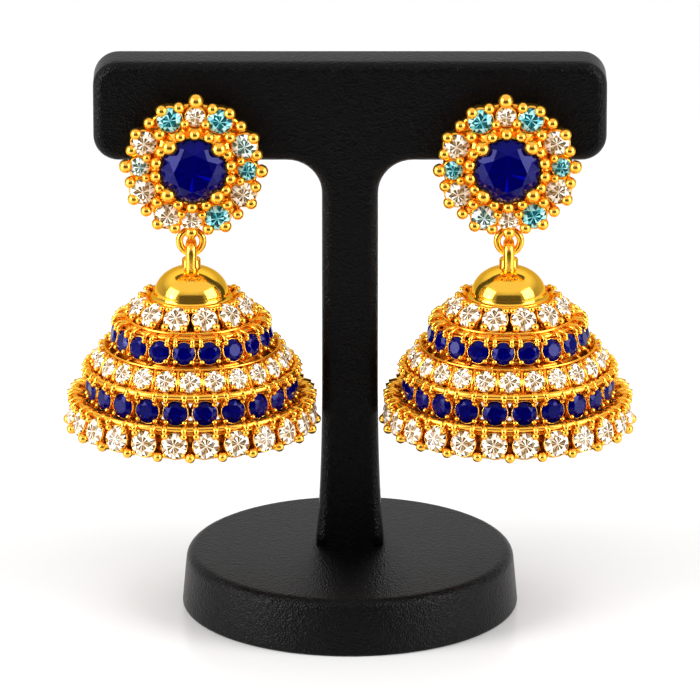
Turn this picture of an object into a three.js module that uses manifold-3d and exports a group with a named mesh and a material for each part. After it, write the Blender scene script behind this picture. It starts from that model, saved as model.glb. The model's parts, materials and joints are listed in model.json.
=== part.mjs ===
// A pair of jhumka earrings pinned on a T-bar display stand.
// Millimetres, +Z up, viewer towards -Y. The origin is the centre of the base's underside.
// Each earring is a flower stud with a ring soldered under it, and a bell-shaped drop whose
// loop hangs on that ring and swings front to back.
import * as THREE from "three";
import { mergeVertices } from "three/addons/utils/BufferGeometryUtils.js";
import Module from "manifold-3d";

const wasm = await Module();
wasm.setup();

// ---- driving sizes -------------------------------------------------------------------------

const stand = {
  height: 84.5,
  barWidth: 76.5,
  barHeight: 15.3,
  barCorner: 3.8,
  thickness: 8,
  edgeRound: 1.5, // on the front and back edges of the T
  postWidth: 8.4,
  armFillet: 5.2, // under the bar, on both sides of the post
  footWidth: 10.2,
  footFlare: 28, // height over which the post widens into its foot
  baseDiameter: 50.6,
  baseTopDiameter: 49.4,
  baseHeight: 8.5,
  baseRound: 1.5,
  pinHole: 0.8, // radius of the hole that each ear post goes through
};

const earring = {
  spread: 23.7, // from the stand's middle to the axis on which each drop hangs
  studHeight: 69.1, // centre of the stud above the table
  pinRise: 5.9, // the ear post stands this far above the stud's centre
};
// Each stud sits a little turned on the bar, in degrees, anticlockwise from the front.
const sides = {
  left: { sign: -1, turn: -2.2, aquaHours: [1, 3, 5, 11] },
  right: { sign: 1, turn: 1.5, aquaHours: [1, 3, 5, 7, 9, 11] },
};

const stud = {
  plateRadius: 9.65,
  plateScallop: 0.35,
  lobes: 24,
  plateBack: 0.3, // clear of the bar's face
  plateFront: 1.5,
  colletTop: 4.0,
  colletWall: 0.55,
  accentTop: 2.9,
  accentWall: 0.3,
  pinRadius: 0.5,
  pinLength: 12.6, // behind the bar's front face
};

const centreStone = { diameter: 9.7, girdle: 4.3, crown: 1.5, pavilion: 2.6 };
// circle is how far a stone's centre is from the stud's.
const accentLarge = { circle: 8.35, diameter: 3.7, girdle: 3.15, crown: 0.6, pavilion: 1.4 };
const accentSmall = { circle: 8.05, diameter: 2.85, girdle: 3.15, crown: 0.5, pavilion: 1.2 };
const seatGap = 0.1; // between a stone's edge and the metal that holds it

const ring = { radius: 1.75, wire: 0.5, drop: 11.7, forward: 1.6 };
const earNut = { radius: 2.6, bore: 0.7, length: 3.2, chamfer: 0.5, gap: 0.3 };

// Heights in the drop are measured down from the pivot, the centre of the ring's lower wire.
const loop = { radius: 1.35, wire: 0.75, foot: 2.8 };
const neck = { radius: 1.42, top: -0.85, bottom: -2.6 };
const dome = { radius: 5.1, apex: -2.1, rim: -6.5, wall: 0.6, flange: 6.15, flangeThick: 0.5 };

// Rows of stones down the bell: radius and height of the stones' centres, the stones'
// diameter, and how far each row looks up from level.
const bellRows = [
  { radius: 8.3, height: -7.95, stone: 3.8, tilt: 42 },
  { radius: 11.6, height: -12.2, stone: 3.35, tilt: 15 },
  { radius: 14.2, height: -15.8, stone: 3.1, tilt: 30 },
  { radius: 15.4, height: -20.3, stone: 3.7, tilt: 6 },
  { radius: 18.1, height: -24.5, stone: 3.8, tilt: 15 },
];
const bell = {
  segments: 40,
  rimLand: 0.2,
  wallIn: 1.0,
  wallDown: 0.9,
  topHole: 3.0,
  topEdge: 6.35,
  topHeight: -7.3,
};

// ---- materials -----------------------------------------------------------------------------

const gold = new THREE.MeshStandardMaterial({ color: 0xf2ab22, roughness: 0.18, metalness: 1 });
const sapphire = new THREE.MeshStandardMaterial({ color: 0x0a128c, roughness: 0.05, metalness: 0 });
const crystal = new THREE.MeshStandardMaterial({ color: 0xf0e6dc, roughness: 0.05, metalness: 0 });
const aqua = new THREE.MeshStandardMaterial({ color: 0x55b5bd, roughness: 0.05, metalness: 0 });
const blackSkin = new THREE.MeshStandardMaterial({ color: 0x121212, roughness: 0.5, metalness: 0 });

// ---- helpers -------------------------------------------------------------------------------

// A closed three.js geometry as a solid that can be cut and joined.
function solid(geometry) {
  const bare = geometry.index ? geometry.toNonIndexed() : geometry.clone();
  bare.deleteAttribute("normal");
  bare.deleteAttribute("uv");
  const merged = mergeVertices(bare, 1e-4);
  return new wasm.Manifold(
    new wasm.Mesh({
      numProp: 3,
      vertProperties: merged.attributes.position.array,
      triVerts: new Uint32Array(merged.index.array),
    })
  );
}

function geometryOf(body) {
  const mesh = body.getMesh();
  const geometry = new THREE.BufferGeometry();
  geometry.setAttribute("position", new THREE.BufferAttribute(mesh.vertProperties, 3));
  geometry.setIndex(new THREE.BufferAttribute(mesh.triVerts, 1));
  geometry.computeVertexNormals();
  return geometry;
}

// A turned shape about Z from [radius, height] pairs that run from the bottom up the outside.
function turned(profile, segments) {
  const points = profile.map(([r, z]) => new THREE.Vector2(r, z));
  return new THREE.LatheGeometry(points, segments).rotateX(Math.PI / 2);
}

// A quarter-round or other arc as [radius, height] pairs, angles in degrees from level.
function arcPoints(centreR, centreZ, radiusR, radiusZ, fromDeg, toDeg, steps) {
  return Array.from({ length: steps + 1 }, (_, i) => {
    const a = THREE.MathUtils.degToRad(fromDeg + ((toDeg - fromDeg) * i) / steps);
    return [centreR + radiusR * Math.cos(a), centreZ + radiusZ * Math.sin(a)];
  });
}

function cylinder(radius, from, to, segments) {
  const length = to - from;
  const made = new THREE.CylinderGeometry(radius, radius, length, segments);
  return made.rotateX(Math.PI / 2).translate(0, 0, (from + to) / 2);
}

function piece(name, geometry, material) {
  const mesh = new THREE.Mesh(geometry, material);
  mesh.name = name;
  return mesh;
}

// A stud is modelled facing +Z with its face up along +Y. This turns it to the viewer, with
// the ring under it on the axis of the drop.
function studMatrix({ sign, turn }) {
  const a = THREE.MathUtils.degToRad(turn);
  const x = sign * earring.spread - Math.sin(a) * ring.drop;
  const facing = new THREE.Matrix4().makeRotationX(Math.PI / 2);
  const placed = new THREE.Matrix4().makeTranslation(x, 0, earring.studHeight);
  return placed.multiply(facing).multiply(new THREE.Matrix4().makeRotationZ(a));
}

// ---- the stand -----------------------------------------------------------------------------

function baseGeometry() {
  const { baseDiameter, baseTopDiameter, baseHeight, baseRound } = stand;
  const bottomR = baseDiameter / 2;
  const topR = baseTopDiameter / 2;
  const toe = 0.4;
  return turned(
    [
      [0, 0],
      [bottomR - toe, 0],
      [bottomR, toe],
      ...arcPoints(topR - baseRound, baseHeight - baseRound, baseRound, baseRound, 0, 90, 4),
      [0, baseHeight],
    ],
    56
  );
}

// The T's outline: a bar with rounded corners, fillets into the post, and a post that widens
// into its foot. It runs on below the base's top, where the foot is cut flat.
function tOutline() {
  const half = stand.barWidth / 2;
  const top = stand.height;
  const under = top - stand.barHeight;
  const c = stand.barCorner;
  const post = stand.postWidth / 2;
  const foot = stand.footWidth / 2;
  const f = stand.armFillet;
  const footTop = stand.baseHeight + stand.footFlare;
  const sink = stand.baseHeight - 2 * stand.edgeRound;
  const shape = new THREE.Shape();
  shape.moveTo(-foot, sink);
  shape.lineTo(foot, sink);
  shape.lineTo(foot, stand.baseHeight);
  shape.quadraticCurveTo(post, stand.baseHeight + stand.footFlare / 3, post, footTop);
  shape.lineTo(post, under - f);
  shape.absarc(post + f, under - f, f, Math.PI, Math.PI / 2, true);
  shape.lineTo(half - c, under);
  shape.absarc(half - c, under + c, c, -Math.PI / 2, 0, false);
  shape.absarc(half - c, top - c, c, 0, Math.PI / 2, false);
  shape.absarc(c - half, top - c, c, Math.PI / 2, Math.PI, false);
  shape.absarc(c - half, under + c, c, Math.PI, Math.PI * 1.5, false);
  shape.lineTo(-post - f, under);
  shape.absarc(-post - f, under - f, f, Math.PI / 2, 0, true);
  shape.lineTo(-post, footTop);
  shape.quadraticCurveTo(-post, stand.baseHeight + stand.footFlare / 3, -foot, stand.baseHeight);
  shape.closePath();
  return shape;
}

function tBarGeometry() {
  const round = stand.edgeRound;
  const blank = new THREE.ExtrudeGeometry(tOutline(), {
    depth: stand.thickness - 2 * round,
    bevelEnabled: true,
    bevelThickness: round,
    bevelSize: round,
    bevelOffset: -round,
    bevelSegments: 3,
    curveSegments: 5,
  });
  blank.rotateX(Math.PI / 2).translate(0, stand.thickness - round, 0);
  const below = new THREE.BoxGeometry(stand.barWidth, 4 * stand.thickness, stand.baseHeight);
  below.translate(0, 0, stand.baseHeight / 2);
  let body = solid(blank).subtract(solid(below));
  for (const side of Object.values(sides)) {
    const hole = cylinder(stand.pinHole, -2 * stand.thickness, stand.thickness, 12);
    hole.translate(0, earring.pinRise, 0).applyMatrix4(studMatrix(side));
    body = body.subtract(solid(hole));
  }
  return geometryOf(body);
}

// ---- the studs -----------------------------------------------------------------------------

// The accent stones by the hours of a clock: small ones at 12, 3, 6 and 9, and large ones
// between, which leave a gap on the diagonals.
const accentStones = Array.from({ length: 12 }, (_, i) => {
  const hour = i + 1;
  const clock = 90 * Math.floor(hour / 3) + [0, 26, 63][hour % 3];
  return { hour, angle: THREE.MathUtils.degToRad(90 - clock), size: hour % 3 ? accentLarge : accentSmall };
});

function accentPlace({ angle, size }) {
  return [size.circle * Math.cos(angle), size.circle * Math.sin(angle)];
}

// A plain faceted stone: flat table, sloping crown, thin girdle, pointed back.
function stoneGeometry({ diameter, girdle, crown, pavilion }, facets) {
  const r = diameter / 2;
  const edge = 0.12;
  return turned(
    [
      [0, girdle - edge - pavilion],
      [r, girdle - edge],
      [r, girdle],
      [r * 0.58, girdle + crown],
      [0, girdle + crown],
    ],
    facets
  );
}

function scallopedPlate() {
  const steps = stud.lobes * 4;
  const outline = Array.from({ length: steps }, (_, i) => {
    const a = (2 * Math.PI * i) / steps;
    const r = stud.plateRadius + stud.plateScallop * Math.cos(stud.lobes * a);
    return new THREE.Vector2(r * Math.cos(a), r * Math.sin(a));
  });
  const plate = new THREE.ExtrudeGeometry(new THREE.Shape(outline), {
    depth: stud.plateFront - stud.plateBack,
    bevelEnabled: false,
  });
  return plate.translate(0, 0, stud.plateBack);
}

// A round collet: a tube on the plate that clears the stone's back by the seat gap.
function colletGeometry(size, wall, top, segments) {
  const inner = size.diameter / 2 + seatGap;
  return turned(
    [
      [inner, stud.plateFront - 0.3],
      [inner + wall, stud.plateFront - 0.3],
      [inner + wall, top],
      [inner, top],
      [inner, stud.plateFront - 0.3],
    ],
    segments
  );
}

function studSettingGeometry() {
  let body = solid(scallopedPlate());
  body = body.add(solid(colletGeometry(centreStone, stud.colletWall, stud.colletTop, 28)));
  const pit = cylinder(1.6, stud.plateFront - 0.4, stud.plateFront + 1, 12);
  body = body.subtract(solid(pit));
  for (const place of accentStones) {
    const [x, y] = accentPlace(place);
    const collet = colletGeometry(place.size, stud.accentWall, stud.accentTop, 12);
    body = body.add(solid(collet.translate(x, y, 0)));
  }
  const eye = new THREE.TorusGeometry(ring.radius, ring.wire, 8, 20);
  body = body.add(solid(eye.translate(0, -ring.drop, ring.forward)));
  const pin = cylinder(stud.pinRadius, -stud.pinLength, stud.plateFront - 0.2, 10);
  return geometryOf(body.add(solid(pin.translate(0, earring.pinRise, 0))));
}

// The plain push-on nut that holds the ear post behind the bar.
function earNutGeometry() {
  const front = -stand.thickness - earNut.gap;
  const back = front - earNut.length;
  const { radius, bore, chamfer } = earNut;
  const ringProfile = [
    [bore, back],
    [radius - chamfer, back],
    [radius, back + chamfer],
    [radius, front - chamfer],
    [radius - chamfer, front],
    [bore, front],
    [bore, back],
  ];
  return turned(ringProfile, 20).translate(0, earring.pinRise, 0);
}

function makeStud(name, side) {
  const group = new THREE.Group();
  group.applyMatrix4(studMatrix(side));
  group.add(piece(`${name}_stud_setting`, studSettingGeometry(), gold));
  group.add(piece(`${name}_centre_stone`, stoneGeometry(centreStone, 16), sapphire));
  group.add(piece(`${name}_ear_nut`, earNutGeometry(), gold));
  for (const place of accentStones) {
    const material = side.aquaHours.includes(place.hour) ? aqua : crystal;
    const number = String(place.hour).padStart(2, "0");
    const stone = piece(`${name}_accent_stone_${number}`, stoneGeometry(place.size, 8), material);
    const [x, y] = accentPlace(place);
    stone.position.set(x, y, 0);
    group.add(stone);
  }
  return group;
}

// ---- the drops -----------------------------------------------------------------------------

// The loop's centre line: up one leg, over the ring's wire and down the other leg.
function loopPath() {
  const points = [new THREE.Vector3(0, -loop.radius, -loop.foot)];
  for (let i = 0; i <= 8; i++) {
    const a = Math.PI - (Math.PI * i) / 8;
    points.push(new THREE.Vector3(0, loop.radius * Math.cos(a), loop.radius * Math.sin(a)));
  }
  points.push(new THREE.Vector3(0, loop.radius, -loop.foot));
  return new THREE.CatmullRomCurve3(points, false, "centripetal");
}

function domeCapGeometry() {
  const { radius, apex, rim, wall, flange, flangeThick } = dome;
  const rise = apex - rim;
  const shell = turned(
    [
      ...arcPoints(0, rim - flangeThick, radius - wall, rise - wall + flangeThick, 90, 0, 6),
      [flange, rim - flangeThick],
      [flange, rim],
      ...arcPoints(0, rim, radius, rise, 0, 90, 7),
    ],
    28
  );
  const wire = new THREE.Shape();
  wire.absarc(0, 0, loop.wire, 0, 2 * Math.PI, false);
  const bail = new THREE.ExtrudeGeometry(wire, {
    steps: 16,
    curveSegments: 4,
    bevelEnabled: false,
    extrudePath: loopPath(),
  });
  const neckPost = cylinder(neck.radius, neck.bottom, neck.top, 14);
  return geometryOf(solid(shell).add(solid(neckPost)).add(solid(bail)));
}

// The upper and lower edge of a row's band, on the bell's outside.
function bandEdges({ radius, height, stone, tilt }) {
  const a = THREE.MathUtils.degToRad(tilt);
  const reach = stone / 2 + bell.rimLand;
  const dr = reach * Math.sin(a);
  const dz = reach * Math.cos(a);
  return [
    [radius - dr, height + dz],
    [radius + dr, height - dz],
  ];
}

// The stone-set bell: a thin stepped shell, one band to each row, open at the mouth. Its top
// is a flat washer under the dome's flange.
function bellGeometry() {
  const { topHole, topEdge, topHeight, wallIn, wallDown } = bell;
  const bands = bellRows.flatMap(bandEdges);
  const outside = [[topHole, topHeight], [topEdge, topHeight], ...bands];
  const inside = bands.slice(1).map(([r, z]) => [r - wallIn, z - wallDown]);
  inside.at(-1)[1] = bands.at(-1)[1];
  const start = [topHole, topHeight - wallDown];
  const under = [topEdge, topHeight - wallDown];
  return turned([start, under, ...inside, ...outside.reverse(), start], bell.segments);
}

function makeDrop(name, side) {
  const group = new THREE.Group();
  const ringHeight = earring.studHeight - ring.drop * Math.cos(THREE.MathUtils.degToRad(side.turn));
  group.position.set(side.sign * earring.spread, -ring.forward, ringHeight - ring.radius);
  group.add(piece(`${name}_dome_cap`, domeCapGeometry(), gold));
  group.add(piece(`${name}_bell`, bellGeometry(), gold));
  return group;
}

// ---- the whole -----------------------------------------------------------------------------

const display = new THREE.Group();
display.add(piece("stand_base", baseGeometry(), blackSkin));
display.add(piece("stand_t_bar", tBarGeometry(), blackSkin));
for (const [name, side] of Object.entries(sides)) {
  display.add(makeStud(name, side));
  display.add(makeDrop(name, side));
}

export default display;
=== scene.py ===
import json
from math import cos, pi, radians, sin

import bpy
from mathutils import Matrix, Vector
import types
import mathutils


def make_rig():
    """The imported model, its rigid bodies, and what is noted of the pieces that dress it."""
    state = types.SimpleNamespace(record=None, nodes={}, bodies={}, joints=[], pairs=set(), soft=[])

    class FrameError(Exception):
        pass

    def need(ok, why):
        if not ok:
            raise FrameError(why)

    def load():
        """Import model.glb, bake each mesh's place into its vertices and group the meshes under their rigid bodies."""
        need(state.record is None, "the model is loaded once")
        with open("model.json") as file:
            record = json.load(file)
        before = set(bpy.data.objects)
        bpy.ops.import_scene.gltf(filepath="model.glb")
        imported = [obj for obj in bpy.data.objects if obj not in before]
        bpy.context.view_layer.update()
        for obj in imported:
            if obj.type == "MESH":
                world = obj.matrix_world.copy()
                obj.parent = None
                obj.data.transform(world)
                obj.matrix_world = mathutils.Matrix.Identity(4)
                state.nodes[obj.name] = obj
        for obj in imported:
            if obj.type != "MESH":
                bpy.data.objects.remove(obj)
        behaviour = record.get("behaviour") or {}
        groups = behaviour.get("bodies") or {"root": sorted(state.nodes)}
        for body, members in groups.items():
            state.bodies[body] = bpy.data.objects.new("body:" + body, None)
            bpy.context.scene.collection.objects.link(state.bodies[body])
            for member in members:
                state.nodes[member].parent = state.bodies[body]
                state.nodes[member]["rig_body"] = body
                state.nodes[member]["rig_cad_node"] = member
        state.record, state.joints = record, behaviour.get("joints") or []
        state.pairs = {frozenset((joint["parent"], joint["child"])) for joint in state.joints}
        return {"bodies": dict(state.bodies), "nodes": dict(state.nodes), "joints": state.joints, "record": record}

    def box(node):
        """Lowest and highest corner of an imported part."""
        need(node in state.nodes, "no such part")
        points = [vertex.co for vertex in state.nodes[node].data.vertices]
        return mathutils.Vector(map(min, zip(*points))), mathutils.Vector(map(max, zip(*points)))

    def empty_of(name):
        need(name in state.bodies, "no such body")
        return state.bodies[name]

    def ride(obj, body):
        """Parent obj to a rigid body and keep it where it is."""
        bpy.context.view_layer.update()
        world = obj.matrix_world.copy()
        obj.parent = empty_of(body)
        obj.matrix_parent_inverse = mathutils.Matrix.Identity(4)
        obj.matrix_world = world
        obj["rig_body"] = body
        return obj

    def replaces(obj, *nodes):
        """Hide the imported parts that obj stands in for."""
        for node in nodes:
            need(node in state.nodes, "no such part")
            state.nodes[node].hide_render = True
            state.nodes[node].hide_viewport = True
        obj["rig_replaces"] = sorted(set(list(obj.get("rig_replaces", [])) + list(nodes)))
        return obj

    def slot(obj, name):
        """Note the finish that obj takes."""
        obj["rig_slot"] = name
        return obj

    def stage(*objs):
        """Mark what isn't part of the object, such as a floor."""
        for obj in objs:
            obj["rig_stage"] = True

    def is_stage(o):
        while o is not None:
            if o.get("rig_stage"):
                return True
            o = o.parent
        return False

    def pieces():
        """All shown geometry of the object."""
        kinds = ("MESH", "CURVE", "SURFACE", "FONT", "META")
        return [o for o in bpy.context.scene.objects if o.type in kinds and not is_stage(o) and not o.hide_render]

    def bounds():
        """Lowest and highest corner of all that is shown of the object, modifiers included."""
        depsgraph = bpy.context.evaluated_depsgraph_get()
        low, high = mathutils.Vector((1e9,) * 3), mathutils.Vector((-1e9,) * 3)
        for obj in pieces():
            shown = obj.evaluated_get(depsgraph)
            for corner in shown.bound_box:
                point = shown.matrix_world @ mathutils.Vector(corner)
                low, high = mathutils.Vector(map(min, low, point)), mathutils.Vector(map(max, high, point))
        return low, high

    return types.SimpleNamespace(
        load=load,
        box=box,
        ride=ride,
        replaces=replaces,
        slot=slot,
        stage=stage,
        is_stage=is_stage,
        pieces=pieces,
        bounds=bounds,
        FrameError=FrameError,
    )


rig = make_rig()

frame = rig.load()
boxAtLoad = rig.bounds()
print("frame loaded")

millimetre = 0.001  # pieces are drawn in millimetres, and the frame is in metres


# a mesh object from its corner points and faces
def meshObject(name, verts, faces, smooth=True):
    mesh = bpy.data.meshes.new(name)
    mesh.from_pydata([tuple(v) for v in verts], [], faces)
    mesh.validate()
    mesh.polygons.foreach_set("use_smooth", [smooth] * len(mesh.polygons))
    made = bpy.data.objects.new(name, mesh)
    bpy.context.scene.collection.objects.link(made)
    return made


# a shape turned round Z from (radius, height) pairs that run up the outside
def turned(name, profile, sides, closed=False):
    verts, rings = [], []
    for r, z in profile:
        if r < 1e-6:  # a pole is one point
            rings.append([len(verts)] * sides)
            verts.append((0, 0, z))
        else:
            rings.append([len(verts) + i for i in range(sides)])
            angles = [2 * pi * i / sides for i in range(sides)]
            verts += [(r * cos(a), r * sin(a), z) for a in angles]
    faces = []
    pairs = list(zip(rings, rings[1:]))
    if closed:
        pairs.append((rings[-1], rings[0]))
    for low, high in pairs:
        for i in range(sides):
            j = (i + 1) % sides
            corners = [low[i], low[j], high[j], high[i]]
            face = [c for k, c in enumerate(corners) if c not in corners[:k]]
            if len(face) > 2:
                faces.append(face)
    return meshObject(name, verts, faces)


# points along an arc in the (radius, height) plane, with both its ends
def arc(centreR, centreZ, radius, fromDeg, toDeg, steps, radiusZ=None):
    high = radius if radiusZ is None else radiusZ
    angles = [radians(fromDeg + (toDeg - fromDeg) * i / steps) for i in range(steps + 1)]
    return [(centreR + radius * cos(a), centreZ + high * sin(a)) for a in angles]


# a wire hoop round Z
def hoop(name, radius, height, wire, sides=96, around=10):
    profile = arc(radius, height, wire, 0, 360 - 360 / around, around - 1)
    return turned(name, profile, sides, closed=True)


# a round tube along points, with its own radius at each point and a cap at both ends
def tube(name, points, radii, sides=10):
    points = [Vector(p) for p in points]
    side = None
    verts, faces = [], []
    for i, p in enumerate(points):
        ahead = points[min(i + 1, len(points) - 1)] - points[max(i - 1, 0)]
        ahead.normalize()
        if side is None:
            side = ahead.orthogonal().normalized()
        side = (side - ahead * side.dot(ahead)).normalized()
        up = ahead.cross(side)
        for k in range(sides):
            a = 2 * pi * k / sides
            verts.append(p + (side * cos(a) + up * sin(a)) * radii[i])
    for i in range(len(points) - 1):
        for k in range(sides):
            j = (k + 1) % sides
            faces.append([i * sides + k, i * sides + j, (i + 1) * sides + j, (i + 1) * sides + k])
    faces.append(list(range(sides))[::-1])
    faces.append([(len(points) - 1) * sides + k for k in range(sides)])
    return meshObject(name, verts, faces)


# where the post meets the ball, as a part of its radius, and the ball's arc in degrees
ballShape = {"meets": 0.8, "from": -52, "to": 84, "steps": 6}


# a post along +Z that ends in a ball; the ball's centre is at the origin
def ballPost(name, ball, post, length, sides=10):
    shape = ballShape
    profile = [(0, -length), (post, -length), (post, -ball * shape["meets"])]
    profile += arc(0, 0, ball, shape["from"], shape["to"], shape["steps"])
    profile.append((0, ball))
    return turned(name, profile, sides)


# painted light and shade on each facet, from 0 dark to 1 bright, for the reflections a glass stone shows:
# the wedges seen through the table, painted on it from its lower side round, then the stars
# beside the table, the kites below them and the facets at the rim
wedgeShades = [0.45, 0.5, 0.06, 0.42, 0.35, 0.04, 0.9, 0.3, 0.0, 0.35, 0.9, 0.02, 0.4, 0.2, 0.0, 1.0]
wedgeShades += [0.85, 0.0, 0.6, 0.2, 0.0, 0.8, 0.95, 0.04, 0.3, 0.8, 0.0, 0.35, 0.45, 0.05, 0.4, 0.85]
starShades = [0.55, 0.95, 0.2, 1.0, 0.8, 0.12, 1.0, 0.4]
kiteShades = [1.0, 0.8, 0.95, 0.35, 1.0, 0.9, 0.5, 1.0, 0.85, 1.0, 0.25, 0.95, 0.9, 0.9, 0.45, 1.0]
rimShades = [0.9, 0.02, 0.7, 1.0, 0.05, 0.95, 0.5, 0.1, 1.0, 0.02, 0.8, 0.95, 0.06, 0.6, 1.0, 0.04]

# lengths are parts of the stone's radius
stoneCut = {
    "table": 0.56,
    "crown": 0.26,
    "pavilion": 0.55,
    "girdle": 0.08,
    "knee": (0.8, 0.56),  # where stars and rim facets meet: radius, and part of the crown's height
    "heart": 0.25,  # the middle of the table, painted paler, as a part of the table
    "heartShade": 0.4,  # the darkest painted shade there
    "line": 3.0,  # degrees to each side of the painted dark lines that run down the crown
    "glint": 0.94,  # a wedge brighter than this is a painted glint
    "calmShade": 0.45,
    "backShade": 0.5,
}


# a round brilliant, girdle at height 0: table, stars, kites, rim facets and a pointed back,
# each facet with a painted shade; calm draws all its painted shades together, except the painted glints in the table
def cutStone(name, radius, calm=0.0, **changes):
    size = {**stoneCut, **changes}
    crown, line, heartShade = size["crown"], size["line"], size["heartShade"]

    def level(angles, r, z):
        spread = r * radius
        return [Vector((spread * cos(a), spread * sin(a), z * radius)) for a in map(radians, angles)]

    wedges = len(wedgeShades)  # four along each of the table's eight sides
    lowerSide = 24  # how far round the first painted shade's wedge is
    eighths = [45 * k for k in range(8)]
    rimAngles = [45 * k + a for k in range(8) for a in (-line, line, 22.5)]
    rimCount = len(rimAngles)
    corners, faces, shades = level(eighths, size["table"], crown), [], []
    verts = [corners[i // 4].lerp(corners[(i // 4 + 1) % 8], i % 4 / 4) for i in range(wedges)]
    middle = Vector((0, 0, crown * radius))
    verts += [middle.lerp(v, size["heart"]) for v in verts]
    kneeRadius, kneeHeight = size["knee"]
    verts += [middle, *level([a + 22.5 for a in eighths], kneeRadius, crown * kneeHeight)]
    verts += [*level(rimAngles, 1.0, 0.0), *level(rimAngles, 1.0, -size["girdle"])]
    verts.append(Vector((0, 0, -radius * size["pavilion"])))
    # the first point of each ring
    hub = 2 * wedges
    knee = hub + 1
    rim = knee + 8
    low = rim + rimCount
    tip = low + rimCount

    def facet(corners, shade, glint=False):
        faces.append(corners)
        shades.append(1.0 if glint else shade + (size["calmShade"] - shade) * calm)

    for i in range(wedges):
        n = (i + 1) % wedges
        shade = wedgeShades[(i + lowerSide) % wedges]
        facet([i, n, wedges + n, wedges + i], shade, shade > size["glint"])
        facet([wedges + i, wedges + n, hub], heartShade + (1 - heartShade) * shade)
    for k in range(8):
        n, before = (k + 1) % 8, (k - 1) % 8
        g0, g1, g2, g3 = rim + 3 * k, rim + 3 * k + 1, rim + 3 * k + 2, rim + 3 * n
        facet([4 * k + 3, 4 * k + 2, 4 * k + 1, 4 * k, knee + k, 4 * n], starShades[k])
        facet([4 * k, knee + before, g0], kiteShades[2 * k])
        facet([4 * k, g0, g1], 0.0)  # a painted dark line
        facet([4 * k, g1, knee + k], kiteShades[2 * k + 1])
        facet([knee + k, g1, g2], rimShades[2 * k])
        facet([knee + k, g2, g3], rimShades[2 * k + 1])
    for i in range(rimCount):
        n = (i + 1) % rimCount
        facet([rim + i, low + i, low + n, rim + n], size["backShade"])
        facet([low + i, tip, low + n], size["backShade"])
    made = meshObject(name, verts, faces, smooth=False)
    # the painted light and shade of each facet, which the stone's material turns into colour
    layer = made.data.attributes.new("shade", "FLOAT", "FACE")
    layer.data.foreach_set("value", shades)
    return made


def newMaterial(name):
    material = bpy.data.materials.new(name)
    material.use_nodes = True
    tree = material.node_tree
    shader = tree.nodes["Principled BSDF"]
    return material, tree, shader


metalLook = {"metallic": 0.94, "edgeTint": (1.0, 0.75, 0.35)}


def goldMaterial(name, colour, roughness):
    material, _, shader = newMaterial(name)
    shader.inputs["Base Color"].default_value = (*colour, 1)
    shader.inputs["Metallic"].default_value = metalLook["metallic"]
    shader.inputs["Roughness"].default_value = roughness
    shader.inputs["Specular Tint"].default_value = (*metalLook["edgeTint"], 1)
    return material


# where the ramp's two middle colours stand between painted dark and painted glint, and how rough the glass is
glassLook = {"middle": (0.42, 0.8), "roughness": 0.04}


# an opaque stone under a glossy front: each facet's colour, from dark to light, is painted reflection and shade,
# standing in for foil-backed glass
def stoneMaterial(name, colours, ior=1.42, tint=(1, 1, 1)):
    material, tree, shader = newMaterial(name)
    shade = tree.nodes.new("ShaderNodeAttribute")
    shade.attribute_name = "shade"
    facets = tree.nodes.new("ShaderNodeValToRGB")
    stops = facets.color_ramp.elements
    for position in glassLook["middle"]:
        stops.new(position)
    for stop, colour in zip(stops, colours):
        stop.color = (*colour, 1)
    tree.links.new(shade.outputs["Fac"], facets.inputs["Fac"])
    # the painted shade picks each facet's colour on the ramp
    tree.links.new(facets.outputs["Color"], shader.inputs["Base Color"])
    shader.inputs["Roughness"].default_value = glassLook["roughness"]
    shader.inputs["IOR"].default_value = ior
    shader.inputs["Specular Tint"].default_value = (*tint, 1)
    return material


skinLook = {
    "colour": (0.0015, 0.0015, 0.0018),
    "roughness": 0.3,
    "specular": 0.1,
    "pebblesPerMetre": 3600,
    "smoothness": 0.6,
    "unevenness": 0.35,  # how coarse the slower waves are, beside the pebbles
    "bump": (0.8, 0.00015),  # strength, and depth in metres
}


# fine grain of coated leather, as a height
def grainGroup():
    group = bpy.data.node_groups.new("leatherGrain", "ShaderNodeTree")
    socket = group.interface.new_socket
    socket(name="Vector", in_out="INPUT", socket_type="NodeSocketVector")
    size = socket(name="Pebbles Per Metre", in_out="INPUT", socket_type="NodeSocketFloat")
    size.default_value = skinLook["pebblesPerMetre"]
    socket(name="Height", in_out="OUTPUT", socket_type="NodeSocketFloat")
    start = group.nodes.new("NodeGroupInput")
    end = group.nodes.new("NodeGroupOutput")
    pebbles = group.nodes.new("ShaderNodeTexVoronoi")
    pebbles.feature = "SMOOTH_F1"
    pebbles.inputs["Smoothness"].default_value = skinLook["smoothness"]
    broad = group.nodes.new("ShaderNodeTexNoise")
    broad.inputs["Detail"].default_value = 4
    slower = group.nodes.new("ShaderNodeMath")
    slower.operation = "MULTIPLY"
    slower.inputs[1].default_value = skinLook["unevenness"]
    add = group.nodes.new("ShaderNodeMath")
    add.operation = "ADD"
    link = group.links.new
    link(start.outputs["Vector"], pebbles.inputs["Vector"])
    link(start.outputs["Vector"], broad.inputs["Vector"])
    link(start.outputs["Pebbles Per Metre"], pebbles.inputs["Scale"])
    link(start.outputs["Pebbles Per Metre"], slower.inputs[0])
    link(slower.outputs[0], broad.inputs["Scale"])
    link(pebbles.outputs["Distance"], add.inputs[0])
    link(broad.outputs["Fac"], add.inputs[1])
    link(add.outputs[0], end.inputs["Height"])
    return group


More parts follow.
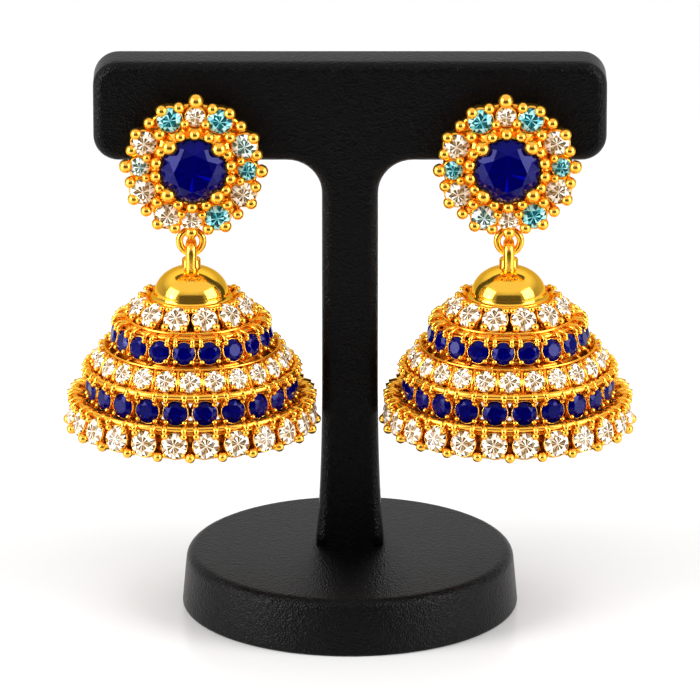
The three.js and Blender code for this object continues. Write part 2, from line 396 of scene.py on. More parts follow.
def blackSkinMaterial():
    material, tree, shader = newMaterial("blackSkin")
    shader.inputs["Base Color"].default_value = (*skinLook["colour"], 1)
    shader.inputs["Roughness"].default_value = skinLook["roughness"]
    shader.inputs["Specular IOR Level"].default_value = skinLook["specular"]
    where = tree.nodes.new("ShaderNodeTexCoord")
    grain = tree.nodes.new("ShaderNodeGroup")
    grain.node_tree = grainGroup()
    bump = tree.nodes.new("ShaderNodeBump")
    bump.inputs["Strength"].default_value, bump.inputs["Distance"].default_value = skinLook["bump"]
    tree.links.new(where.outputs["Object"], grain.inputs["Vector"])
    tree.links.new(grain.outputs["Height"], bump.inputs["Height"])
    tree.links.new(bump.outputs["Normal"], shader.inputs["Normal"])
    return material


gold = goldMaterial("polishedGold", (1.0, 0.5, 0.06), 0.19)
mirrorGold = goldMaterial("mirrorGold", (1.0, 0.56, 0.055), 0.11)  # the dome's higher polish; its lighter, yellower colour is painted light
deepGold = goldMaterial("deepGold", (0.6, 0.22, 0.02), 0.3)  # rougher sheet inside the bell, its darker colour painted shade
# each look: the stone's own colour, painted from dark shade through middling and light to a glint, for dark, middling,
# light and glinting facets
clearColours = [(0.015, 0.008, 0.004), (0.4, 0.24, 0.1), (0.82, 0.7, 0.52), (1.0, 0.98, 0.93)]
blueColours = [(0.0, 0.0, 0.01), (0.0, 0.0, 0.06), (0.0, 0.0, 0.14), (0.0, 0.001, 0.23)]
aquaColours = [(0.0, 0.01, 0.012), (0.01, 0.1, 0.11), (0.08, 0.45, 0.52), (0.42, 0.84, 0.87)]
paleColours = [(0.0, 0.01, 0.009), (0.12, 0.19, 0.13), (0.5, 0.7, 0.66), (1.0, 1.0, 1.0)]
stoneLooks = {
    "clear": stoneMaterial("clearStone", clearColours),
    "blue": stoneMaterial("blueStone", blueColours, 1.36, (0.38, 0.38, 1.0)),
    "aqua": stoneMaterial("aquaStone", aquaColours),
    "pale": stoneMaterial("paleStone", paleColours),
}
blackSkin = blackSkinMaterial()
print("materials made")


# a ring of one piece, repeated round a vertical axis by geometry nodes
def ringTree():
    tree = bpy.data.node_groups.new("ringOfPieces", "GeometryNodeTree")
    tree.is_modifier = True
    socket = tree.interface.new_socket
    socket(name="Geometry", in_out="OUTPUT", socket_type="NodeSocketGeometry")
    for label, kind in [
        ("Piece", "NodeSocketObject"),
        ("Count", "NodeSocketInt"),
        ("Radius", "NodeSocketFloat"),
        ("Height", "NodeSocketFloat"),
        ("Lean", "NodeSocketFloat"),
        ("Start", "NodeSocketFloat"),
        ("Spin", "NodeSocketFloat"),
        ("Material", "NodeSocketMaterial"),
    ]:
        socket(name=label, in_out="INPUT", socket_type=kind)
    nodes, link = tree.nodes, tree.links.new

    def node(kind, **settings):
        made = nodes.new(kind)
        for key, value in settings.items():
            setattr(made, key, value)
        return made

    def maths(operation, a, b=None):
        made = node("ShaderNodeMath", operation=operation)
        for slot, value in zip(made.inputs, (a, b)):
            if isinstance(value, (int, float)):
                slot.default_value = value
            elif value is not None:
                link(value, slot)
        return made.outputs[0]

    start = node("NodeGroupInput").outputs
    index = node("GeometryNodeInputIndex").outputs[0]
    share = maths("DIVIDE", maths("MULTIPLY", index, 2 * pi), start["Count"])
    angle = maths("ADD", share, start["Start"])
    forwards = maths("MULTIPLY", start["Radius"], -1)  # the first piece faces -Y
    spot = node("ShaderNodeCombineXYZ")
    link(maths("MULTIPLY", maths("SINE", angle), start["Radius"]), spot.inputs["X"])
    link(maths("MULTIPLY", maths("COSINE", angle), forwards), spot.inputs["Y"])
    link(start["Height"], spot.inputs["Z"])
    points = node("GeometryNodePoints")
    link(start["Count"], points.inputs["Count"])
    link(spot.outputs[0], points.inputs["Position"])
    turn = node("ShaderNodeCombineXYZ")
    link(maths("SUBTRACT", pi / 2, start["Lean"]), turn.inputs["X"])
    link(angle, turn.inputs["Z"])
    piece = node("GeometryNodeObjectInfo")
    link(start["Piece"], piece.inputs["Object"])
    instances = node("GeometryNodeInstanceOnPoints")
    link(points.outputs[0], instances.inputs["Points"])
    link(piece.outputs["Geometry"], instances.inputs["Instance"])
    link(turn.outputs[0], instances.inputs["Rotation"])
    # each piece is turned about its own axis by up to Spin, either way
    spin = node("FunctionNodeRandomValue", data_type="FLOAT")
    spin.inputs["Seed"].default_value = 0
    link(maths("MULTIPLY", start["Spin"], -1), spin.inputs[2])
    link(start["Spin"], spin.inputs[3])
    spinTurn = node("ShaderNodeCombineXYZ")
    link(spin.outputs[1], spinTurn.inputs["Z"])
    spun = node("GeometryNodeRotateInstances")
    link(instances.outputs[0], spun.inputs["Instances"])
    link(spinTurn.outputs[0], spun.inputs["Rotation"])
    real = node("GeometryNodeRealizeInstances")
    link(spun.outputs[0], real.inputs[0])
    finish = node("GeometryNodeSetMaterial")
    link(real.outputs[0], finish.inputs["Geometry"])
    link(start["Material"], finish.inputs["Material"])
    link(finish.outputs[0], node("NodeGroupOutput").inputs[0])
    return tree


ring = ringTree()
ringSockets = {s.name: s.identifier for s in ring.interface.items_tree if s.in_out == "INPUT"}


# lean is how far the piece looks up from level, start the first one's angle from the front,
# and spin the most that each is turned about its own axis, all in degrees
def ringOf(piece, count, radius, height, lean=0.0, start=0.0, spin=0.0, material=gold):
    host = meshObject(piece.name + "Ring", [], [])
    modifier = host.modifiers.new("ring", "NODES")
    modifier.node_group = ring
    values = {"Piece": piece, "Count": count, "Radius": radius, "Height": height}
    values |= {"Lean": radians(lean), "Start": radians(start), "Spin": radians(spin)}
    values["Material"] = material
    for label, value in values.items():
        kind = int if label == "Count" else float
        modifier[ringSockets[label]] = kind(value) if isinstance(value, (int, float)) else value
    graph = bpy.context.evaluated_depsgraph_get()
    mesh = bpy.data.meshes.new_from_object(
        host.evaluated_get(graph), preserve_all_data_layers=True, depsgraph=graph
    )
    host.modifiers.remove(modifier)
    host.data = mesh
    return host


prototypes = []  # pieces that rings repeat, deleted once all is made


def prototype(made):
    prototypes.append(made)
    return made


def shifted(made, x=0.0, y=0.0, z=0.0):
    made.data.transform(Matrix.Translation((x, y, z)))
    return made


# parts without a material of their own are plain gold
def joined(name, parts):
    for part in parts:
        if not part.data.materials:
            part.data.materials.append(gold)
    with bpy.context.temp_override(active_object=parts[0], selected_editable_objects=parts):
        bpy.ops.object.join()
    parts[0].name = name
    parts[0].data.name = name
    return parts[0]


# puts a finished piece at its place in the frame, in metres
def place(made, matrix):
    made.data.transform(matrix)
    made.data.update()
    return made


# the drop is drawn in millimetres below its pivot
bellSizes = {
    # stones, radius, height, stone diameter, look-up angle, first stone's angle from the front
    "rows": [
        (12, 8.3, -7.95, 3.8, 42, 15),
        (19, 11.6, -12.2, 3.35, 15, -4.7),
        (24, 14.2, -15.8, 3.1, 30, 0),
        (22, 15.4, -20.3, 3.7, 6, 8.2),
        (24, 18.1, -24.5, 3.8, 15, 7.5),
    ],
    "blueRows": (1, 3),
    "blueLook": (0.75, 15),  # how calm a stone's painted shades are, and how far stones are turned
    "clearLook": (0.0, 180),
    "topBalls": [0.5, 0.42, 0.38, 0.45, 0.55],
    "lowBalls": [0.6, 0.42, 0.38, 0.45, 0.3],
    "coveredBall": 0.25,  # the top balls in rows that have arms
    "ballOut": 0.28,  # how far outside the stone's edge a ball stands, as a part of its radius
    "diagonal": 0.707,
    "claw": (0.27, 0.75, 1.5, 0.12),  # most radius, part of the ball's, length, ball's height
    "backDepth": 1.25,  # how far the supporting hoops lie behind the stones
    "backEdge": 0.25,  # and how far inside the stones' upper and lower edges
    "backWire": 0.32,
    "bandInset": 0.1,
    "stripInset": 0.45,
    "bottomBall": (0.76, 0.4, 1.8),  # ball, post, length
    "bottomPlace": (0.5, 0.2),  # how far out from the bottom row, and up from its edge
}
# the thin metal edge round a bell's stone
colletSizes = {
    "gap": 0.03,  # between the stone and the metal
    "seam": 0.13,  # from the stone's edge to the metal's outside
    "flare": 0.16,  # how much thicker the collet is at its back
    "depth": 1.3,
    "neck": 0.25,  # how far below the girdle it starts to thicken
    "lip": (0.02, 0.03),
}
# hoops over rows 2, 4 and 5 from which arms reach down on the stones: radius, height, wire
clawHoops = {1: (10.35, -10.35, 0.3), 3: (15.65, -17.7, 0.48), 4: (17.5, -22.1, 0.42)}
armSizes = {
    "wires": {1: 0.33, 3: 0.34, 4: 0.43},
    # (radius, height) points that an arm passes
    "paths": {
        1: [(9.4, -10.2), (10.2, -9.95), (11.1, -10.0), (11.65, -10.45)],
        3: [(15.1, -17.7), (15.75, -17.65), (16.3, -18.0)],
        4: [(15.6, -22.5), (16.5, -22.1), (17.5, -21.85), (18.35, -22.1)],
    },
    "end": (0.05, 0.4, 0.8),  # above the stone's corner, in front of its girdle, part of the wire
    "tipHeight": 0.32,
    "wrapRow": 3,
    # a wrap's outline: past the hoop's wire, and along it
    "wrap": [(0, -0.42), (0.14, -0.34), (0.2, 0), (0.14, 0.34), (0, 0.42)],
}
# the bell's hoops and sheet where it has no stones
frameSizes = {
    "shoulder": (5.2, -7.25),
    "ledgeHoop": (9.75, -9.75, 0.26),
    "ledge": ((9.6, -9.9), (10.5, -10.45), 0.35),
    "topHoop": (13.1, -14.25, 0.18),
    "post": (1.7, 0.1, 0.24),  # half length, depth, wire
}
domeSizes = {
    "radius": 5.6,
    "apex": -2.1,
    "rim": -6.5,
    "wall": 0.6,
    "skirt": 0.5,  # how far the wall's inside goes on below the rim
    "lip": (5.95, -6.85, 0.22),  # the flange's round edge: radius, height, thickness
    "step": [(5.88, -6.68), (5.74, -6.6)],  # from the flange up to the dome
    "rimHoop": (6.1, -7.12, 0.2),
    "neck": (1.42, -3.0, -0.88),  # radius, foot, top
    "collar": [(0.75, -2.6), (0.3, -2.32), (0, -2.0), (0, -1.05), (-0.12, -0.9)],  # past the neck
}
loopSizes = {
    "radius": 1.45,
    "wire": 0.84,
    "foot": -2.75,
    "legs": (0, 0.6, 1.6),  # above the foot
    "footRing": (-2.05, 0.13),  # height, wire
    "plug": [(0, -3.6), (0.55, -3.6), (0.72, -2.4), (0, -2.3)],
}


# the way that a row's stones face, and the way up along them, in the bell's section
def rowAxes(lean):
    a = radians(lean)
    return Vector((cos(a), sin(a))), Vector((-sin(a), cos(a)))


# how far up along a row's stones, and how far out from them, a point in the bell's section is
def inRow(row, radius, height):
    _, r, h, _, lean, _ = bellSizes["rows"][row]
    outward, upward = rowAxes(lean)
    offset = Vector((radius - r, height - h))
    return offset.dot(upward), offset.dot(outward)


# the hoop behind a row, at its upper edge (side 1) or its lower one (-1), as (radius, height)
def backHoop(row, side):
    _, r, h, stone, lean, _ = bellSizes["rows"][row]
    outward, upward = rowAxes(lean)
    edge = stone / 2 - bellSizes["backEdge"]
    p = Vector((r, h)) - outward * bellSizes["backDepth"] + upward * side * edge
    return p.x, p.y


def colletPiece(name, stone):
    c = colletSizes
    inner, outer = stone / 2 + c["gap"], stone / 2 + c["seam"]
    lipIn, lipDown = c["lip"]
    section = [(inner, -c["depth"]), (outer + c["flare"], -c["depth"]), (outer, -c["neck"])]
    section += [(outer - lipIn, -lipDown), (inner, 0.0)]
    return turned(name, section, 20, closed=True)


# how far sideways, and as far up, a ball at a stone's corner is from the stone's middle
def cornerReach(stone, ball):
    return (stone / 2 + ball * bellSizes["ballOut"]) * bellSizes["diagonal"]


# the metal round one stone: a thin collet, and straight claws with ball ends at its corners
def settingPiece(row, stone, topBall, lowBall):
    parts = [colletPiece(f"setting{row}", stone)]
    thickest, ofBall, length, height = bellSizes["claw"]
    for x in (-1, 1):
        for y, ball in ((1, topBall), (-1, lowBall)):
            reach = cornerReach(stone, ball)
            claw = ballPost("claw", ball, min(thickest, ball * ofBall), length)
            parts.append(shifted(claw, x * reach, y * reach, height))
    return prototype(joined(f"setting{row}", parts))


# a pair of arms that leave a hoop over the stone and bend down on its upper corners
def armPiece(row, stone, ball):
    up, out = inRow(row, *clawHoops[row][:2])
    wire = clawHoops[row][2]
    x = cornerReach(stone, ball)
    endUp, endOut, taper = armSizes["end"]
    thick = armSizes["wires"][row]
    parts = []
    for side in (-1, 1):
        path = [(side * x, *inRow(row, *point)) for point in armSizes["paths"][row]]
        path.append((side * x, x + endUp, endOut))
        parts.append(tube("arm", path, [thick] * (len(path) - 1) + [thick * taper], 10))
        tip = turned("tip", arc(0, 0, ball, -90, 90, 7), 12)
        parts.append(shifted(tip, side * x, x, armSizes["tipHeight"]))
        if row == armSizes["wrapRow"]:
            wrap = [(wire + more, along) for more, along in armSizes["wrap"]]
            barrel = turned("wrap", [(0, wrap[0][1]), *wrap, (0, wrap[-1][1])], 14)
            barrel.data.transform(Matrix.Rotation(pi / 2, 4, "Y"))
            parts.append(shifted(barrel, side * x, up, out))
    return prototype(joined(f"arms{row}", parts))


# two crossed wires over the sheet between two rows
def crossPiece(row, reach=0.75, wire=0.22, out=0.1):
    (r0, z0), (r1, z1) = backHoop(row - 1, -1), backHoop(row, 1)
    parts = []
    for side in (-1, 1):
        path = [(-side * reach, -r0 - out, z0), (side * reach, -r1 - out, z1)]
        parts.append(tube("wire", path, [wire, wire], 8))
    return prototype(joined(f"cross{row}", parts))


# a strip of sheet round the bell between two (radius, height) points; one that is inset is rougher, its darker gold
# painted shade
def strip(name, upper, lower, thick=0.3, inset=0.0):
    (r0, z0), (r1, z1) = (upper[0] - inset, upper[1]), (lower[0] - inset, lower[1])
    section = [(r1 - thick, z1), (r1, z1), (r0, z0), (r0 - thick, z0)]
    made = turned(name, section, 96, closed=True)
    made.data.materials.append(deepGold if inset else gold)
    return made


# one row of the bell: its settings, arms and stones, and the hoops and sheet behind them
def rowParts(i):
    rows = bellSizes["rows"]
    count, radius, height, stone, lean, start = rows[i]
    top, low = bellSizes["topBalls"][i], bellSizes["lowBalls"][i]
    isBlue = i in bellSizes["blueRows"]
    setting = settingPiece(i, stone, bellSizes["coveredBall"] if i in clawHoops else top, low)
    metal = [ringOf(setting, count, radius, height, lean, start)]
    if i in clawHoops:
        metal.append(ringOf(armPiece(i, stone, top), count, radius, height, lean, start))
        metal.append(hoop(f"clawHoop{i}", *clawHoops[i]))
    calm, spin = bellSizes["blueLook" if isBlue else "clearLook"]
    gem = prototype(cutStone(f"gem{i}", stone / 2, calm))
    material = stoneLooks["blue" if isBlue else "clear"]
    stones = ringOf(gem, count, radius, height, lean, start, spin, material)
    upper, lower = backHoop(i, 1), backHoop(i, -1)
    for edge in (lower, upper):
        metal.append(hoop(f"backHoop{i}", *edge, bellSizes["backWire"]))
    # behind the clear rows, a sheet in the darker gold of painted shade
    if not isBlue:
        metal.append(strip(f"band{i}", upper, lower, inset=bellSizes["bandInset"]))
    if i:
        above = backHoop(i - 1, -1)
        metal.append(strip(f"strip{i}", above, upper, inset=bellSizes["stripInset"]))
        crosses, first = rows[i - 1][0], rows[i - 1][5]
        metal.append(ringOf(crossPiece(i), crosses, 0, 0, 90, first + 180 / crosses))
    return metal, stones, isBlue


def bellParts():
    metal, clear, blue = [], [], []
    for i in range(len(bellSizes["rows"])):
        parts, stones, isBlue = rowParts(i)
        metal += parts
        (blue if isBlue else clear).append(stones)
    f = frameSizes
    metal.append(strip("shoulder", f["shoulder"], backHoop(0, 1)))
    metal.append(hoop("ledgeTop", *f["ledgeHoop"]))
    metal.append(strip("ledge", *f["ledge"]))
    metal.append(hoop("frameTop", *f["topHoop"]))
    # posts between the middle row's stones
    count, radius, height, _, lean, start = bellSizes["rows"][2]
    half, depth, wire = f["post"]
    post = prototype(tube("framePost", [(0, -half, -depth), (0, half, -depth)], [wire, wire], 8))
    metal.append(ringOf(post, count, radius, height, lean, start + 180 / count))
    # balls under the bottom row
    count, radius, height, stone, lean, start = bellSizes["rows"][4]
    out, up = bellSizes["bottomPlace"]
    ball = prototype(ballPost("bottomBall", *bellSizes["bottomBall"], 14))
    lowest = height - stone / 2 + up
    metal.append(ringOf(ball, count, radius + out, lowest, lean, start + 180 / count))
    return metal, clear, blue


def domeShell():
    d = domeSizes
    rise = d["apex"] - d["rim"]
    sunk = 0.05  # the outside starts this far above the rim
    inside = rise - d["wall"] + d["skirt"]
    inner = arc(0, d["rim"] - d["skirt"], d["radius"] - d["wall"], 90, 0, 16, inside)
    lip = arc(*d["lip"], -90, 90, 8)
    outer = arc(0, d["rim"] + sunk, d["radius"], 2, 90, 28, rise - sunk)
    shell = turned("domeShell", [*inner, *lip, *d["step"], *outer], 96)
    shell.data.materials.append(mirrorGold)
    return shell


def domeParts():
    neck, neckFoot, neckTop = domeSizes["neck"]
    collar = [(neck + past, z) for past, z in domeSizes["collar"]]
    parts = [domeShell(), hoop("domeRim", *domeSizes["rimHoop"])]
    parts.append(turned("neck", [(0, neckFoot), *collar, (0, neckTop)], 40))
    r, wire, foot = loopSizes["radius"], loopSizes["wire"], loopSizes["foot"]
    over = [(0, -r, foot + z) for z in loopSizes["legs"]]
    over += [(0, y, z) for y, z in arc(0, 0, r, 180, 0, 16)]
    over += [(0, r, foot + z) for z in reversed(loopSizes["legs"])]
    parts.append(tube("loop", over, [wire] * len(over), 24))
    for side in (-1, 1):
        footRing = hoop("footRing", wire, *loopSizes["footRing"], 32, 8)
        parts.append(shifted(footRing, 0, side * r, 0))
        parts.append(shifted(turned("foot", loopSizes["plug"], 24), 0, side * r, 0))
    return parts


def makeDrop(side, pivot):
    metal, clear, blue = bellParts()
    toWorld = Matrix.Translation(pivot) @ Matrix.Scale(millimetre, 4)
    # parts, slot, and the frame's node that the piece stands in for
    pieces = {
        "BellMetal": (metal, "gold", "bell"),
        "BellClearStones": (clear, "crystal", None),
        "BellBlueStones": (blue, "sapphire", None),
        "DomeCap": (domeParts(), "gold", "dome_cap"),
    }
    for label, (parts, slot, node) in pieces.items():
        made = place(joined(side + label, parts), toWorld)
        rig.ride(made, f"{side}_drop")
        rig.slot(made, slot)
        if node:
            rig.replaces(made, f"{side}_{node}")


for joint in frame["joints"]:
    makeDrop(joint["child"].split("_")[0], Vector(joint["pos_m"]))
print("drops made")


# the studs are drawn in millimetres, facing +Z with their upper side towards +Y
studSizes = {
    "turns": {"left": -2.2, "right": 1.5},  # degrees
    "plate": (9.55, 0.3, 1.5, 0.3),  # radius, back, front, bevel
    "collet": (4.92, 5.3, 4.02),  # inside, outside, top
    "skirt": [(2.1, 2.1), (1.2, 2.75), (0.5, 3.3), (0.1, 3.7)],  # past the collet's outside, height
    "skirtFoot": (0.5, 2.6, 0.2),  # inside the collet, outside it, below the plate's front
    "colletEdge": (0.12, 0.1),
    "stone": (4.85, 4.3),  # centre stone: radius and girdle height
    "stoneCut": {"table": 0.6, "crown": 0.3, "pavilion": 0.52, "calm": 0.85},
    "ballRoot": 1.0,
    "ring": (1.75, 0.55, -11.7, 1.6),  # radius, wire, place along Y, height
    "pin": (0.5, -12.6, 5.9),  # radius, back end, place along Y
    "pinTip": (0.6, 0.4),  # part of the pin's radius, length
    "pinRoot": 0.1,
}
accentSizes = {
    "large": (1.85, 8.35),  # the stone's radius and its circle's
    "small": (1.42, 8.05),
    "angles": (0, 26, 63),  # of the first three hours in each quarter
    "girdle": 3.15,
    "collet": [(0.03, -1.7), (0.3, -1.7), (0.16, -0.02), (0.03, 0.0)],  # past the stone, height
}
# the hours with aqua stones, and those with stones between clear and aqua
aquaHours = {"left": (1, 3, 5, 11), "right": (1, 3, 5, 7, 9, 11)}
paleHours = {"left": (2, 9), "right": (7,)}
# balls round the stud: how many, circle's radius, height, angle from six o'clock, ball, post
studBalls = [
    (4, 5.2, 4.75, 45, 1.16, 0.6),
    (2, 5.62, 4.2, 0, 0.94, 0.45),
    (2, 5.62, 4.2, 22, 0.88, 0.45),
    (2, 5.62, 4.2, -22, 0.88, 0.45),
    (2, 5.62, 4.2, 79.5, 0.94, 0.45),
    (2, 5.62, 4.2, 100.5, 0.94, 0.45),
    (2, 5.62, 4.2, 60.5, 0.88, 0.45),
    (2, 5.62, 4.2, 119.5, 0.88, 0.45),
    (4, 10.1, 3.0, 30, 0.94, 0.45),
    (4, 10.1, 3.0, 60, 0.92, 0.45),
    (12, 9.65, 2.9, 15, 0.9, 0.45),
    (1, 10.45, 3.0, 180, 1.15, 0.6),
    (2, 10.1, 3.0, 90, 1.04, 0.5),
    (1, 9.9, 3.1, 0, 0.98, 0.5),
    (4, 7.35, 3.5, 45, 0.92, 0.4),
    (4, 7.15, 3.45, 12.5, 0.7, 0.35),
    (4, 7.15, 3.45, 77.5, 0.7, 0.35),
]


# each small stone, by the hours of a clock: hour, radius, circle, angle from six o'clock
def accentSpots():
    for hour in range(1, 13):
        clock = 90 * (hour // 3) + accentSizes["angles"][hour % 3]
        radius, circle = accentSizes["large" if hour % 3 else "small"]
        yield hour, radius, circle, 180 - clock


def centreCollet():
    inner, outer, top = studSizes["collet"]
    inside, outside, sunk = studSizes["skirtFoot"]
    edgeIn, edgeDown = studSizes["colletEdge"]
    foot = studSizes["plate"][2] - sunk
    section = [(inner - inside, foot), (outer + outside, foot)]
    section += [(outer + past, z) for past, z in studSizes["skirt"]]
    section += [(outer, top - edgeDown), (outer - edgeIn, top), (inner, top)]
    return turned("centreCollet", section, 64, closed=True)


def studMetal():
    plate, low, high, bevel = studSizes["plate"]
    profile = [(0, low), (plate - bevel, low), (plate, low + bevel)]
    profile += [(plate, high - bevel), (plate - bevel, high), (0, high)]
    parts = [turned("plate", profile, 96), centreCollet()]
    for count, circle, height, start, ball, post in studBalls:
        piece = prototype(ballPost("studBall", ball, post, height - studSizes["ballRoot"], 16))
        parts.append(ringOf(piece, count, circle, height, 90, start))
    for _, radius, circle, start in accentSpots():
        section = [(radius + past, z) for past, z in accentSizes["collet"]]
        wall = prototype(turned("accentCollet", section, 28, closed=True))
        parts.append(ringOf(wall, 1, circle, accentSizes["girdle"], 90, start))
    major, wire, drop, forward = studSizes["ring"]
    parts.append(shifted(hoop("eye", major, 0, wire, 64, 20), 0, drop, forward))
    pin, back, rise = studSizes["pin"]
    thin, point = studSizes["pinTip"]
    root = low + studSizes["pinRoot"]
    profile = [(0, back), (pin * thin, back), (pin, back + point), (pin, root), (0, root)]
    parts.append(shifted(turned("pin", profile, 20), 0, rise, 0))
    return parts


# the small stones of one colour, with the names of the nodes that they stand in for
def accentStones(side, look, isAqua):
    stones, nodes = [], []
    for hour, radius, circle, start in accentSpots():
        if (hour in aquaHours[side]) == isAqua:
            gem = prototype(cutStone("accentGem", radius))
            material = stoneLooks["pale" if hour in paleHours[side] else look]
            girdle = accentSizes["girdle"]
            stones.append(ringOf(gem, 1, circle, girdle, 90, start, material=material))
            nodes.append(f"accent_stone_{hour:02d}")
    return stones, nodes


def makeStud(side):
    lowest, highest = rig.box(f"{side}_centre_stone")
    centre = (lowest + highest) / 2
    turn = radians(studSizes["turns"][side])
    facing = Matrix.Rotation(pi / 2, 4, "X") @ Matrix.Rotation(turn, 4, "Z")
    spot = Matrix.Translation((centre.x, 0, centre.z))
    toWorld = spot @ facing @ Matrix.Scale(millimetre, 4)
    radius, girdle = studSizes["stone"]
    groups = {}
    centreGem = prototype(cutStone("centreGem", radius, **studSizes["stoneCut"]))
    groups["Setting"] = (studMetal(), "gold", ["stud_setting"])
    gem = ringOf(centreGem, 1, 0, girdle, 90, 0, material=stoneLooks["blue"])
    groups["CentreStone"] = ([gem], "sapphire", ["centre_stone"])
    stones, nodes = accentStones(side, "aqua", True)
    groups["AquaStones"] = (stones, "aqua", nodes)
    stones, nodes = accentStones(side, "clear", False)
    groups["ClearStones"] = (stones, "crystal", nodes)
    for label, (parts, slot, nodes) in groups.items():
        made = place(joined(f"{side}Stud{label}", parts), toWorld)
        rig.ride(made, "stand")
        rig.slot(made, slot)
        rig.replaces(made, *[f"{side}_{n}" for n in nodes])
    # the nut stays the frame's own shape
    frame["nodes"][f"{side}_ear_nut"].data.materials.clear()
    frame["nodes"][f"{side}_ear_nut"].data.materials.append(gold)


for side in studSizes["turns"]:
    makeStud(side)
print("studs made")


# the stand is drawn in millimetres
standSizes = {
    "bar": (38.25, 84.5, 15.3, 3.8),  # half width, top, height, corner
    "thickness": 8.0,
    "edge": 1.5,
    "post": 4.2,
    "fillet": 5.2,
    "foot": (5.1, 28.0),  # half width and height of the flare
    "base": (25.3, 24.7, 8.5, 1.5),  # radius at the foot, radius at the top, height, edge
    "baseFootEdge": 0.5,
    "footGap": 0.02,  # between the base's top and the post
}
# steps along the flare, round a corner of the outline and round the board's edge
boardSteps = {"flare": 10, "corner": 10, "edge": 8}


# the T's outline, set in from its widest by inset, from the foot's right side round to its left
def tOutline(inset):
    half, top, height, corner = standSizes["bar"]
    under = top - height
    post, fillet = standSizes["post"], standSizes["fillet"]
    foot, flare = standSizes["foot"]
    floor = standSizes["base"][2] + standSizes["footGap"]
    corners, points = boardSteps["corner"], []
    for i in range(boardSteps["flare"] + 1):
        t = i / boardSteps["flare"]
        x = foot * (1 - t) ** 2 + post * (2 * t * (1 - t) + t * t)
        points.append((x - inset, floor + flare * (2 * t * (1 - t) / 3 + t * t)))
    points += arc(post + fillet, under - fillet, fillet + inset, 180, 90, corners)
    points += arc(half - corner, under + corner, corner - inset, -90, 0, corners)
    points += arc(half - corner, top - corner, corner - inset, 0, 90, corners)
    return points + [(-x, z) for x, z in reversed(points)]


def makeTBar():
    edge, thick = standSizes["edge"], standSizes["thickness"]
    rounds = boardSteps["edge"]
    steps = [radians(90 * i / rounds) for i in range(rounds + 1)]
    layers = [(edge * (1 - sin(a)), edge * (1 - cos(a))) for a in steps]
    layers += [(inset, thick - y) for inset, y in reversed(layers)]
    verts, faces = [], []
    for inset, y in layers:
        verts += [(x, y, z) for x, z in tOutline(inset)]
    n = len(verts) // len(layers)
    for i in range(len(layers) - 1):
        for k in range(n):
            j = (k + 1) % n
            faces.append([i * n + k, i * n + j, (i + 1) * n + j, (i + 1) * n + k])
    faces.append(list(range(n))[::-1])
    faces.append([(len(layers) - 1) * n + k for k in range(n)])
    made = meshObject("tBar", verts, faces)
    for face in made.data.polygons[-2:]:  # the flat front and back
        face.use_smooth = False
    return made


def makeBase():
    bottom, top, height, edge = standSizes["base"]
    low = standSizes["baseFootEdge"]
    profile = [(0, 0), (bottom - low, 0), *arc(bottom - low, low, low, -90, 0, 4)]
    profile += [*arc(top - edge, height - edge, edge, 4, 90, 8), (0, height)]
    return turned("base", profile, 160)


def makeStand():
    for made, node in ((makeTBar(), "stand_t_bar"), (makeBase(), "stand_base")):
        made.data.materials.append(blackSkin)
        place(made, Matrix.Scale(millimetre, 4))
        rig.ride(made, "stand")
        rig.slot(made, "black_skin")
        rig.replaces(made, node)


makeStand()
for made in prototypes:
    bpy.data.objects.remove(made)
print("stand made")


# stage, light and camera, in metres
stageSizes = {
    "floor": 6.0,
    "darkCard": (1.3, 0.95, 1.6),  # half width, height, distance in front of the object
    "darkFrom": (0.17, 0.2),  # where the dark floor starts in front, and its half width there
    "darkColour": (0.01, 0.009, 0.008),
    "backGlow": 0.38,  # how much paler the surround is behind the stand
    "floorTone": 0.84,
    "floorRough": 0.22,
    # a light's place, width, height and power, and the height that it is turned to
    "sideBox": (0.8, -0.33, 0.38, 0.55, 0.6, 8.6),
    "sideAim": 0.05,
    "lowBox": (-0.74, -0.36, 0.16, 0.12, 0.22, 1.1),
    "lowAim": 0.01,
    "ceiling": (0.35, 0.7, 0.3, 0.95),  # brightens from, is full at, dim tone, bright tone
}
cameraSizes = {
    "distance": 1.3,
    "view": 0.105,  # width of the view at the object
    "lookDown": 18.0,  # degrees
    "lookAt": 0.0398,  # height
    "sensor": 36,
}


def areaLight(name, spot, aim, width, height, power):
    data = bpy.data.lights.new(name, "AREA")
    data.shape = "RECTANGLE"
    data.size, data.size_y = width, height
    data.energy = power
    made = bpy.data.objects.new(name, data)
    made.location = spot
    made.rotation_euler = (Vector((0, 0, aim)) - Vector(spot)).to_track_quat("-Z", "Y").to_euler()
    bpy.context.scene.collection.objects.link(made)


def flatCard(name, corners, colour, roughness=0.5):
    card = meshObject(name, corners, [[0, 1, 2, 3]], smooth=False)
    material, _, shader = newMaterial(name)
    shader.inputs["Base Color"].default_value = (*colour, 1)
    shader.inputs["Roughness"].default_value = roughness
    card.data.materials.append(material)
    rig.stage(card)
    return card


# a black flag that only reflections see
def flag(name, corners, colour):
    made = flatCard(name, corners, colour)
    made.visible_camera = False
    made.visible_diffuse = False
    made.visible_shadow = False


def makeFloorAndCards():
    half = stageSizes["floor"] / 2
    corners = [(-half, -half, 0), (half, -half, 0), (half, half, 0), (-half, half, 0)]
    flatCard("floor", corners, (stageSizes["floorTone"],) * 3, stageSizes["floorRough"])
    wide, high, away = stageSizes["darkCard"]
    near, nearWide = stageSizes["darkFrom"]
    base, above = 0.01, 0.001  # the card's and the dark floor's height over the floor
    corners = [(-wide, -away, base), (wide, -away, base), (wide, -away, high), (-wide, -away, high)]
    flag("darkCard", corners, stageSizes["darkColour"])
    corners = [(-nearWide, -near, above), (-wide, -away, above)]
    corners += [(wide, -away, above), (nearWide, -near, above)]
    flag("darkFloor", corners, stageSizes["darkColour"])


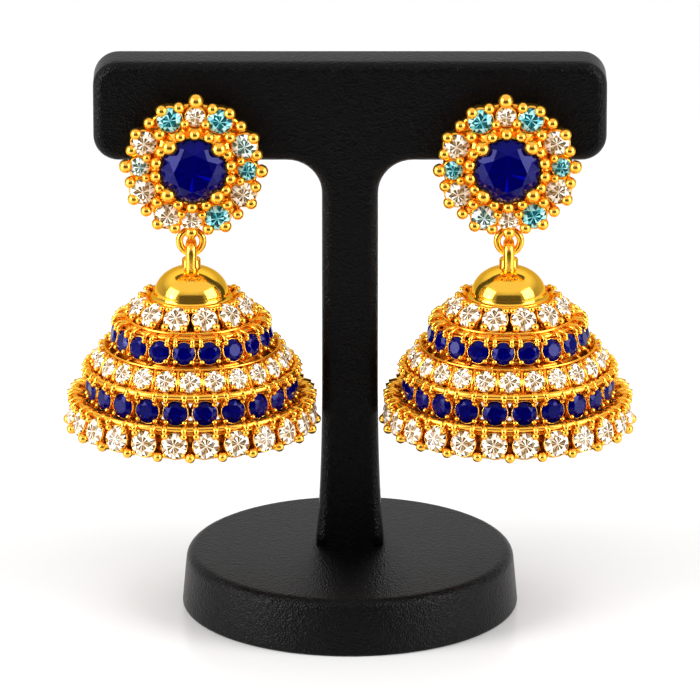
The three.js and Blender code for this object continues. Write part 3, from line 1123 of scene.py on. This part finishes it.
def makeLights():
    x, y, z, wide, high, power = stageSizes["sideBox"]
    for side in (-1, 1):
        areaLight("sideBox", (side * x, y, z), stageSizes["sideAim"], wide, high, power)
    x, y, z, wide, high, power = stageSizes["lowBox"]
    areaLight("lowBox", (x, y, z), stageSizes["lowAim"], wide, high, power)


def makeWorld():
    world = bpy.data.worlds.new("studio")
    bpy.context.scene.world = world
    world.use_nodes = True
    tree = world.node_tree
    background = tree.nodes["Background"]
    background.inputs["Color"].default_value = (1, 1, 1, 1)
    # a dim surround that brightens to a white ceiling
    where = tree.nodes.new("ShaderNodeTexCoord")
    split = tree.nodes.new("ShaderNodeSeparateXYZ")
    rise = tree.nodes.new("ShaderNodeMapRange")
    low, high, dim, bright = stageSizes["ceiling"]
    rise.inputs["From Min"].default_value = low
    rise.inputs["From Max"].default_value = high
    rise.inputs["To Min"].default_value = dim
    rise.inputs["To Max"].default_value = bright
    tree.links.new(where.outputs["Generated"], split.inputs[0])
    tree.links.new(split.outputs["Z"], rise.inputs["Value"])
    # and a paler side behind the stand
    behind = tree.nodes.new("ShaderNodeMath")
    behind.operation = "MULTIPLY"
    behind.use_clamp = True
    behind.inputs[1].default_value = stageSizes["backGlow"]
    total = tree.nodes.new("ShaderNodeMath")
    tree.links.new(split.outputs["Y"], behind.inputs[0])
    tree.links.new(behind.outputs[0], total.inputs[0])
    tree.links.new(rise.outputs["Result"], total.inputs[1])
    tree.links.new(total.outputs[0], background.inputs["Strength"])


def makeCamera():
    data = bpy.data.cameras.new("camera")
    data.sensor_width = cameraSizes["sensor"]
    data.lens = cameraSizes["sensor"] * cameraSizes["distance"] / cameraSizes["view"]
    data.clip_end = 20
    made = bpy.data.objects.new("camera", data)
    a = radians(cameraSizes["lookDown"])
    target = Vector((0, 0, cameraSizes["lookAt"]))
    made.location = target + Vector((0, -cos(a), sin(a))) * cameraSizes["distance"]
    made.rotation_euler = (target - made.location).to_track_quat("-Z", "Y").to_euler()
    bpy.context.scene.collection.objects.link(made)
    bpy.context.scene.camera = made


makeFloorAndCards()
makeLights()
makeWorld()
makeCamera()
bpy.context.scene.view_settings.view_transform = "Standard"
print("stage made")

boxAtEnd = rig.bounds()
with open("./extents.json", "w") as out:
    json.dump({"at_load": boxAtLoad, "at_end": boxAtEnd}, out, default=lambda v: [list(x) if hasattr(x, "__len__") else x for x in v])
